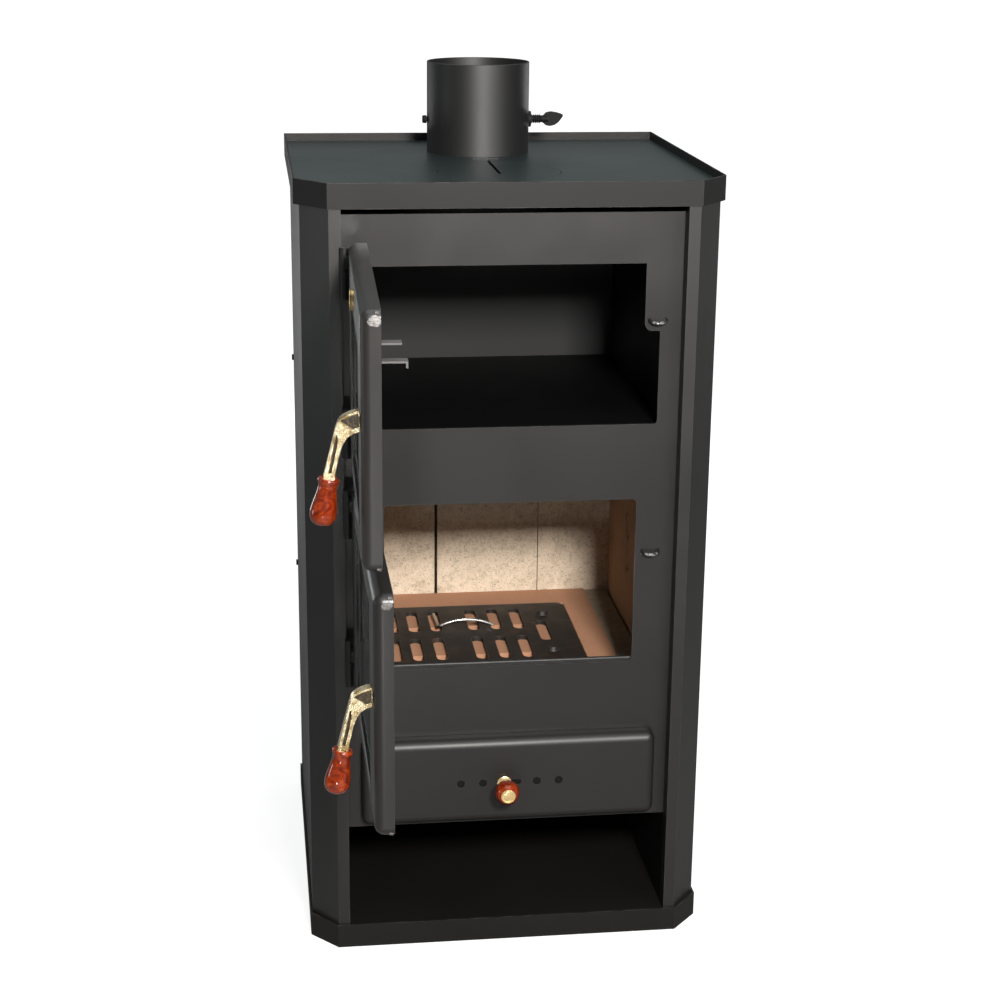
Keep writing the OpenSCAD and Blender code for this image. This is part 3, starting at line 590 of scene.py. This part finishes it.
# ------------------------------------------------------------------ carried-over CAD nodes
# node: (material, width of its edge bevel)
LOOK = {
    "base_tray": ("base", 0.0006), "back_panel": ("casing", 0.0004), "hob_plate": ("hob", 0.0004),
    "hob_lid": ("hob", 0.0005), "damper_bushes": ("iron", 0.0004), "front_panel": ("panel", 0.0004),
    "door_staples": ("staple", 0), "hinge_pins": ("black", 0.0005), "oven_floor": ("oven_floor", 0.0003),
    "oven_ceiling": ("oven", 0.0003), "oven_side_walls": ("oven", 0.0003), "oven_back_wall": ("oven", 0.0003),
    "body_side_walls": ("body", 0), "body_back_wall": ("body", 0), "baffle_plate": ("body", 0.0003),
    "brick_shelf": ("body", 0), "ash_floor": ("bay", 0), "floor_brick": ("clay", 0.0012),
    "ledge_boards": ("ledge", 0.0015), "log_guard": ("black", 0.0005), "drawer_runners": ("body", 0),
    "bay_walls": ("bay", 0.0003), "casing_screws": ("black", 0.0006), "grate": ("grate", 0.0012),
    "damper_plate": ("body", 0.0003), "damper_spring": ("iron", 0), "ash_drawer_box": ("body", 0.0004),
    # the air slide takes the dark paint of painted shade behind the drawer's holes
    "air_slide": ("painted_hole_shade", 0.0002), "oven_glass": ("glass", 0.0004), "fire_glass": ("glass", 0.0004),
    "oven_glass_frame": ("black", 0.0004), "fire_glass_frame": ("black", 0.0004),
    "oven_knuckles": ("black", 0.0005), "fire_knuckles": ("black", 0.0005), "oven_inner_hook": ("hook", 0.0005),
    # the spindles take the near-black brass of painted shade
    "oven_spindle": ("brass_painted_shade", 0.0004), "fire_spindle": ("brass_painted_shade", 0.0004),
    "back_bricks": ("board", 0.0015), "side_bricks": ("side_board", 0.001), "top_rim": ("rim", 0.0006),
    "left_casing": ("casing", 0.0005), "right_casing": ("casing", 0.0005), "thermometer_needle": ("black", 0),
}
for node, (mat, width) in LOOK.items():
    o = NODES[node]
    for s in o.material_slots:
        s.material = M[mat]
    if width:
        bevel(o, width)


# ------------------------------------------------------------------ doors
# ground weld in each door's upper free corner (its size, its colour), and how light the door's paint is; the oven
# door's lighter weld tone and lighter paint are painted light
DOOR_LOOK = {
    "oven": ((0.0068, 0.0068, 0.0056), (0.23, 0.22, 0.215), 1.35),
    "fire": ((0.0055, 0.0055, 0.0042), (0.11, 0.105, 0.10), 1.0),
}


def build_door(kind):
    body = kind + "_door"
    lo, hi = closed_box(kind, body + "_shell")
    glo, ghi = closed_box(kind, kind + "_glass")
    wx0, wx1, wz0, wz1 = glo.x + GLASS_LAP, ghi.x - GLASS_LAP, glo.z + GLASS_LAP, ghi.z - GLASS_LAP
    m = swung(kind)
    spindle = m.inverted() @ Vector(JOINTS[kind + "_handle_turn"]["pos_m"])
    size, tone, light = DOOR_LOOK[kind]
    corner = m @ Vector((hi.x, hi.y - 0.0065, hi.z - 0.0105))
    # the oven door's paint is made lighter than the fire door's: painted light
    M[body] = paint(body + "_paint", [c * light for c in (0.0105, 0.0095, 0.0091)], rough=0.37, wear=0.5,
                    weld=(corner, size, tone))
    through = facing_front(0, lo.y + 0.01, 0)
    cut = [extrude_outline("cut", outline, 0.02, body, through)
           for outline in (rect_pts(wx0, wx1, wz0, wz1, 0.006), circle_pts(spindle.x, spindle.z, 0.0041))]
    shell = pan(body + "_pressed", lo, hi, PRESS_RADIUS, body, cut)
    shell.data.transform(m)
    finish_piece(shell, body, "door_paint", body + "_shell")
    # the bead that the press leaves round the window
    out = 0.004
    bead_pts = rect_pts(wx0 - out, wx1 + out, wz0 - out, wz1 + out, 0.009, 8)
    bead_path = [m @ Vector((x, lo.y + 0.0006, z)) for x, z in bead_pts]
    ridge = sweep(body + "_window_bead", bead_path, 0.0011, body, True, 8)
    smooth(ridge.data, 60)
    finish_piece(ridge, body, "door_paint")
    build_gasket(kind, m)
    # welded corners of the folded edge
    inset = 0.0036
    corners = [(x, z) for x in (hi.x - inset, lo.x + inset) for z in (hi.z - inset, lo.z + inset)]
    for i, (x, z) in enumerate(corners):
        ends = [m @ Vector((x, hi.y - back, z)) for back in (0.0062, 0.0012)]
        bead(f"{body}_corner_weld_{i}", ends, 0.0052, "weld", body, "bright_steel", i + 3)
    build_handle(kind, m, spindle, lo.y)


def build_gasket(kind, m):
    """The rope in the channel behind a door's edge."""
    lo, hi = closed_box(kind, kind + "_gasket")
    r, step = 0.0033, 0.0022
    outline = rect_pts(lo.x + r, hi.x - r, lo.z + r, hi.z - r, 0.008, 8)
    path = []
    for (x0, z0), (x1, z1) in zip(outline, outline[1:] + outline[:1]):
        n = max(1, int(math.hypot(x1 - x0, z1 - z0) / step))
        path += [m @ Vector((x0 + (x1 - x0) * i / n, hi.y - r, z0 + (z1 - z0) * i / n)) for i in range(n)]

    def strands(i, t):
        return r * (0.93 + 0.07 * math.sin(3 * t + i * 0.9) * math.cos(2 * t - i * 0.7))

    rope = sweep(kind + "_gasket_rope", path, strands, "rope", True, 14)
    smooth(rope.data, 180)
    finish_piece(rope, kind + "_door", "gasket_rope", kind + "_gasket")


def on_rim(c, rim):
    """True when c lies on the outline rim, seen from the side."""
    for (x0, z0), (x1, z1) in zip(rim, rim[1:] + rim[:1]):
        d = Vector((x1 - x0, z1 - z0))
        t = max(0, min(1, ((c.x - x0) * d.x + (c.y - z0) * d.y) / d.length_squared))
        if math.hypot(c.x - x0 - d.x * t, c.y - z0 - d.y * t) < 0.0009:
            return True
    return False


# side view of a lever in mm: distance out from the door, height from the spindle
LEVER_OUTER = [(0, 10), (5, 9.1), (10, 7.4), (15, 5.0), (18.8, 2.2), (21.0, -1.6), (23.0, -8), (26.0, -20),
               (29, -32), (32.3, -45), (35.5, -57)]
LEVER_INNER = [(24.5, -57), (23.0, -48), (21.3, -40), (19.6, -32.6), (17.4, -25.4), (14.8, -19.8), (11.4, -15.4),
               (6, -12.0), (0, -10)]
LEVER_WIDTH = 0.012
LEVER_HOLLOWS = (  # outline in mm, metal left in the middle in metres
    ([(18.4, 0.6), (10, 5.0), (4.6, 6.9), (0.8, 7.8), (0.8, -5.6), (6.4, -7.4)], 0.0086),
    ([(20.9, -7), (26.2, -31), (30.6, -51), (27.2, -51), (23.6, -34), (20.9, -21)], 0.0034),
)
# radius and distance along the grip, in mm
GRIP = [(0.0, 1.2), (6.4, 1.2), (7.4, 0.2), (9.2, 0.3), (10.4, 1.4), (10.7, 3.2), (10.2, 5.0), (9.4, 6.4),
        (9.1, 8.6), (9.3, 12.5), (10.2, 18), (11.6, 24.5), (12.8, 30.5), (13.3, 35.5), (13.0, 39.6),
        (11.6, 43.6), (8.9, 46.6), (5.0, 48.0), (0.0, 48.2)]


def build_handle(kind, m, spindle, face):
    body = kind + "_handle"
    w = LEVER_WIDTH
    rim = in_metres(LEVER_OUTER + LEVER_INNER)
    base = Matrix.Translation((spindle.x, face - LEVER_GAP, spindle.z))
    side = Matrix(((0, 0, -1, 0), (-1, 0, 0, 0), (0, 1, 0, 0), (0, 0, 0, 1)))  # outline x runs to -Y, y runs up
    lever = extrude_outline(kind + "_lever_cast", rim, w, "brass", Matrix.Translation((0, 0, -w / 2)))
    lever.data.materials.append(M["brass_painted_shade"])
    cut_away(lever, [extrude_outline("cut", fillet(in_metres(hollow), 0.0007, 3), w, "brass",
                                     Matrix.Translation((0, 0, s * (w + thick) / 2 - w / 2)))
                     for hollow, thick in LEVER_HOLLOWS for s in (-1, 1)])
    bevel(lever, 0.0007, 3, 30)
    baked(lever, 60)
    for f in lever.data.polygons:  # painted shade: near-black brass on the faces inside the hollows
        outside = abs(f.normal.z) < 0.5 and on_rim(f.center, rim)
        f.material_index = int(abs(f.center.z) < w / 2 - 0.0008 and not outside)
    lever.data.transform(m @ base @ side)
    finish_piece(lever, body, "brass", kind + "_lever")
    tilt = Matrix.Translation((0, -0.0293, -0.056)) @ Matrix.Rotation(math.radians(-10), 4, "X")
    profile = [(r / 1000, -z / 1000) for r, z in GRIP]
    grip = softened(lathe(kind + "_grip_turned", profile, "burl", m @ base @ tilt, 56))
    finish_piece(grip, body, "burl_wood", kind + "_grip")


for kind in ("oven", "fire"):
    build_door(kind)


# ------------------------------------------------------------------ thermometer
def build_gauge():
    m = swung("oven")
    c = m.inverted() @ Vector(JOINTS["thermometer_needle_turn"]["pos_m"])
    out = m @ facing_front(c.x, c.y, c.z)
    clo, chi = closed_box("oven", "thermometer_case")
    k = (chi.x - clo.x) / 2 / 0.0131  # the profile is drawn 13.1 mm in radius
    ring = [(0.0, 0.0), (0.0131, 0.0), (0.0131, 0.0014), (0.0122, 0.0030), (0.0127, 0.0036), (0.0126, 0.0041),
            (0.0117, 0.0043), (0.0109, 0.0039), (0.0106, 0.0026), (0.0, 0.0026)]
    case = lathe("thermometer_bezel", [(r * k, z) for r, z in ring], "bezel", out, 72)
    for v in case.data.vertices:  # knurled edge
        q = out.inverted() @ v.co
        if math.hypot(q.x, q.y) > 0.0129 * k and q.z > 0.001:
            notch = 1 - 0.015 * (math.sin(36 * math.atan2(q.y, q.x)) > 0)
            v.co = out @ Vector((q.x * notch, q.y * notch, q.z))
    smooth(case.data, 30)
    finish_piece(case, "oven_door", "brass", "thermometer_case")
    edge = 0.0104 * k
    disc = [(0.0, 0.0027), (edge, 0.0027), (edge, 0.0030), (0.0, 0.0030)]
    dial = lathe("thermometer_dial", disc, "dial", out, 48)
    finish_piece(dial, "oven_door", "brass")


build_gauge()


# ------------------------------------------------------------------ ash drawer
def build_drawer():
    lo, hi = node_box("ash_drawer_front")
    stem_lo, stem_hi = node_box("air_knob_stem")
    x, z = (stem_lo.x + stem_hi.x) / 2, (stem_lo.z + stem_hi.z) / 2
    outlines = [circle_pts(hole, z, 0.005) for hole in (-0.060, -0.033, 0.033, 0.060)]
    outlines.append(rect_pts(-0.014, 0.014, z - 0.0035, z + 0.0035, 0.0034))
    through = facing_front(0, lo.y + 0.01, 0)
    cut = [extrude_outline("cut", outline, 0.02, "drawer", through) for outline in outlines]
    front = pan("drawer_front_pressed", lo, hi, 0.011, "drawer", cut)
    finish_piece(front, "ash_drawer", "casing_paint", "ash_drawer_front")
    rear = rect_pts(lo.x + 0.003, hi.x - 0.003, lo.z + 0.003, hi.z - 0.003, 0.008)
    back = extrude_outline("drawer_front_backing", rear, SHEET, "body", facing_front(0, hi.y - 0.0005, 0))
    finish_piece(back, "ash_drawer", "oven_steel")
    build_air_knob(x, z)


def build_air_knob(x, z):
    """Wooden ball with a flat front, and the brass button, stem and collar that hold it."""
    lo, hi = node_box("air_knob")
    r = (hi.x - lo.x) / 2
    place = facing_front(x, hi.y - r, z)
    flat = math.degrees(math.acos(0.0091 / r))  # angle at which the ball's flat front begins
    arc = [math.radians(-74 + i * (74 + flat) / 16) for i in range(17)]
    seat = r * math.sin(math.radians(flat)) - 0.0015
    profile = [(0.0030, -0.0143), (0.0042, -0.0145)] + [(r * math.cos(a), r * math.sin(a)) for a in arc]
    ball = lathe("air_knob_turned", profile + [(0.0090, seat), (0.0, seat)], "burl", place, 64)
    smooth(ball.data, 60)
    finish_piece(ball, "air_slide", "burl_wood", "air_knob")
    button = [(0.0, 0.0014), (0.0056, 0.0015), (0.0064, 0.0010), (0.0070, 0.0020), (0.0080, 0.0021),
              (0.0088, 0.0014), (0.0088, 0.0001), (0.0029, -0.0004)]
    collar = [(0.0029, -0.0158), (0.0029, -0.0240), (0.0070, -0.0241), (0.0089, -0.0252), (0.0089, -0.0276),
              (0.0080, -0.0280), (0.0029, -0.0281), (0.0029, -0.0312), (0.0, -0.0312)]
    stem = lathe("air_knob_button", [(q, seat + h) for q, h in button] + collar, "brass_smooth", place, 64)
    smooth(stem.data, 40)
    finish_piece(stem, "air_slide", "brass", "air_knob_stem")


build_drawer()


# ------------------------------------------------------------------ damper knob
WING = [(0, -3), (2, -5), (6, -8.2), (11, -9.2), (17, -8.0), (22, -4.6), (25, -1), (27.8, 3), (28.0, 5.4),
        (25, 6.6), (19, 8.4), (12, 9.4), (6, 8.2), (2, 4), (0, 2.6)]  # the wing knob's outline in mm


def build_damper():
    lo, hi = node_box("damper_shaft")
    z, y = (lo.z + hi.z) / 2, (lo.y + hi.y) / 2
    along_x = Matrix(((0, 0, 1, 0), (0, 1, 0, 0), (-1, 0, 0, 0), (0, 0, 0, 1)))
    rod = [(0.0, lo.x), (0.0042, lo.x), (0.005, lo.x + 0.001), (0.005, lo.x + 0.005), (0.003, lo.x + 0.0056),
           (0.003, hi.x - 0.030), (0.0045, hi.x - 0.029), (0.0045, hi.x - 0.020), (0.0, hi.x - 0.020)]
    shaft = lathe("damper_rod", rod, "iron", Matrix.Translation((0, y, z)) @ along_x, 24)
    smooth(shaft.data, 40)
    finish_piece(shaft, "damper", "blackened_steel", "damper_shaft")
    thick = 0.0044
    flat = facing_front(hi.x - 0.0285, y + thick / 2, z)
    wing = extrude_outline("damper_wing_knob", in_metres(WING), thick, "iron", flat)
    bevel(wing, 0.0016, 4, 30)
    baked(wing, 180)
    finish_piece(wing, "damper", "blackened_steel")


build_damper()


# ------------------------------------------------------------------ flue spigot
def build_flue():
    lo, hi = node_box("flue_collar")
    shaft_lo, shaft_hi = node_box("damper_shaft")
    x, y, r = (lo.x + hi.x) / 2, (lo.y + hi.y) / 2, (hi.x - lo.x) / 2
    t, soft = 0.0022, 0.0005  # wall, rounding of its upper edge
    wall = [(r - t, lo.z), (r, lo.z), (r, hi.z - soft), (r - soft, hi.z), (r - t + soft, hi.z), (r - t, hi.z - soft),
            (r - t, lo.z)]
    flue = lathe("flue_tube", wall, "flue", Matrix.Translation((x, y, 0)), 160)
    across = Matrix.Translation((x, (shaft_lo.y + shaft_hi.y) / 2, (shaft_lo.z + shaft_hi.z) / 2))
    drill = [(0, -0.09), (0.0036, -0.09), (0.0036, 0.09), (0, 0.09)]
    cut_away(flue, [lathe("cut", drill, "flue", across @ Matrix.Rotation(math.radians(90), 4, "Y"), 24)])
    finish_piece(flue, "stove", "casing_paint", "flue_collar")


build_flue()


# ------------------------------------------------------------------ grate handle
def build_grate_handle():
    """The bent wire on the grate: a shallow bow with one leg that runs back from its left end."""
    lo, hi = node_box("grate_handle")
    half, rise, r, inset = 0.036, 0.0085, 0.0019, 0.0024
    c = Vector((hi.x - half - inset, lo.y + inset, lo.z + inset))
    bow = (half * half + rise * rise) / (2 * rise)
    arc = []
    for i in range(41):
        x = -half + 2 * half * i / 40
        arc.append(c + Vector((x, 0, math.sqrt(bow * bow - x * x) - bow + rise)))
    corner = c + Vector((-half, 0, 0))
    turn = math.radians(93)
    leg = [corner + Vector((math.cos(turn), math.sin(turn), 0)) * (0.0475 * i / 12) for i in range(13)]
    bend = [leg[1].lerp(corner, 0.5), corner.lerp(leg[1], 0.2)]

    def thinner_leg(i, t):
        return r * (0.85 if i < 11 else 1.0)

    wire = sweep("grate_wire", leg[:0:-1] + bend + arc[1:], thinner_leg, "bright", segs=16)
    smooth(wire.data, 60)
    finish_piece(wire, "grate", "bright_steel", "grate_handle")


build_grate_handle()


# ------------------------------------------------------------------ welds
# small welds where the casing meets the rim and where the staples stand on the panel
rim_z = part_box("top_rim")[0][2] + 0.0006
casing_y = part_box("right_casing")[0][1] - 0.0002
for i, x in enumerate((-0.205, 0.197)):
    ends = (x, casing_y, rim_z), (x + 0.009, casing_y, rim_z)
    bead(f"rim_weld_{i}", ends, 0.0026, "casing", "stove", "casing_paint", 20 + i)
slo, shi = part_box("door_staples")
panel_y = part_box("front_panel")[0][1] - 0.0006
for i, z in enumerate((slo[2] + 0.002, shi[2] - 0.002)):
    for k, x in enumerate((slo[0] + 0.002, shi[0] - 0.002)):
        ends = (x - 0.002, panel_y, z - 0.001), (x + 0.002, panel_y, z + 0.001)
        bead(f"staple_weld_{i}{k}", ends, 0.0040, "panel", "stove", "casing_paint", 30 + 2 * i + k)


# ------------------------------------------------------------------ stage and light
def floor():
    """A pale floor that shows white to the camera, but lights the stove only as a grey one would."""
    m = Mat("floor_white")
    n = m.noise(3, 3)
    m.set(Base_Color=m.mix(n, (0.19, 0.19, 0.19), (0.22, 0.22, 0.22)), Roughness=0.9)
    far = m.node("ShaderNodeVectorMath", {0: m.co}, operation="LENGTH").outputs["Value"]
    shine = m.remap(far, 0.9, 3.0, 0.86, 1.0)
    glow = m.node("ShaderNodeEmission", {"Color": (1, 1, 1, 1), "Strength": shine}).outputs[0]
    lit = m.node("ShaderNodeAddShader", {0: m.b.outputs[0], 1: glow}).outputs[0]
    seen = m.node("ShaderNodeLightPath").outputs["Is Camera Ray"]
    both = m.node("ShaderNodeMixShader", {0: seen, 1: m.b.outputs[0], 2: lit}).outputs[0]
    m.t.links.new(both, m.out.inputs[0])
    bpy.ops.mesh.primitive_plane_add(size=120, location=(0, 0, 0))
    o = bpy.context.object
    o.name = "floor"
    o.data.materials.append(m.m)


def world():
    """Dim light from all round, a little stronger from behind the stove; white where the camera sees it."""
    w = bpy.data.worlds.new("studio")
    bpy.context.scene.world = w
    w.use_nodes = True
    t = w.node_tree
    bg = t.nodes["Background"]
    bg.inputs[0].default_value = (0.93, 1.0, 1.0, 1)
    split = t.nodes.new("ShaderNodeSeparateXYZ")
    t.links.new(t.nodes.new("ShaderNodeTexCoord").outputs["Generated"], split.inputs[0])
    level = t.nodes.new("ShaderNodeMapRange")
    for k, v in enumerate((0.3, 0.95, 0.20, 0.26)):
        level.inputs[k + 1].default_value = v
    t.links.new(split.outputs[1], level.inputs[0])
    t.links.new(level.outputs[0], bg.inputs[1])
    white = t.nodes.new("ShaderNodeBackground")
    white.inputs[0].default_value = (1, 1, 1, 1)
    pick = t.nodes.new("ShaderNodeMixShader")
    t.links.new(t.nodes.new("ShaderNodeLightPath").outputs["Is Camera Ray"], pick.inputs[0])
    t.links.new(bg.outputs[0], pick.inputs[1])
    t.links.new(white.outputs[0], pick.inputs[2])
    t.links.new(pick.outputs[0], t.nodes["World Output"].inputs[0])


def area(name, pos, target, size, power, color=(1, 1, 1), size_y=None):
    """A rectangular light at pos that faces target."""
    d = bpy.data.lights.new(name, "AREA")
    d.shape = "RECTANGLE"
    d.size, d.size_y = size, size_y or size
    d.energy = power
    d.color = color
    o = bpy.data.objects.new(name, d)
    o.location = pos
    o.rotation_euler = (Vector(target) - Vector(pos)).to_track_quat("-Z", "Y").to_euler()
    o.visible_camera = False
    bpy.context.scene.collection.objects.link(o)


def lights():
    area("key", (0.18, -2.54, 1.70), (0.0, -0.1, 0.55), 0.37, 132, (1.0, 0.965, 0.93))
    area("side", (1.25, -1.9, 1.55), (0.0, 0.0, 0.7), 0.5, 14, (1.0, 0.98, 0.97))
    area("left", (-2.2, -0.2, 0.55), (-0.2, -0.4, 0.5), 0.3, 2.2, (0.95, 0.98, 1.0), 0.35)
    area("low", (-0.42, -2.15, 0.07), (-0.2, -0.5, 0.6), 0.11, 2.4, (1.0, 0.98, 0.95))
    # behind the stove and lower than its hob, so that they light the back and the sides and not the top
    area("rear", (0.3, 2.6, 0.38), (0.0, 0.2, 0.5), 0.6, 16)
    area("right_rear", (1.9, 2.0, 0.38), (0.2, 0.1, 0.5), 0.6, 12)
    area("left_rear", (-1.7, 2.3, 0.38), (-0.2, 0.1, 0.5), 0.6, 6)
    area("sky", (0.0, -0.4, 4.2), (0.0, -0.4, 0), 4.0, 80, (0.95, 1.0, 1.0))


camera()
floor()
world()
lights()
bpy.context.scene.view_settings.view_transform = "Standard"
bpy.context.scene.view_settings.look = "None"
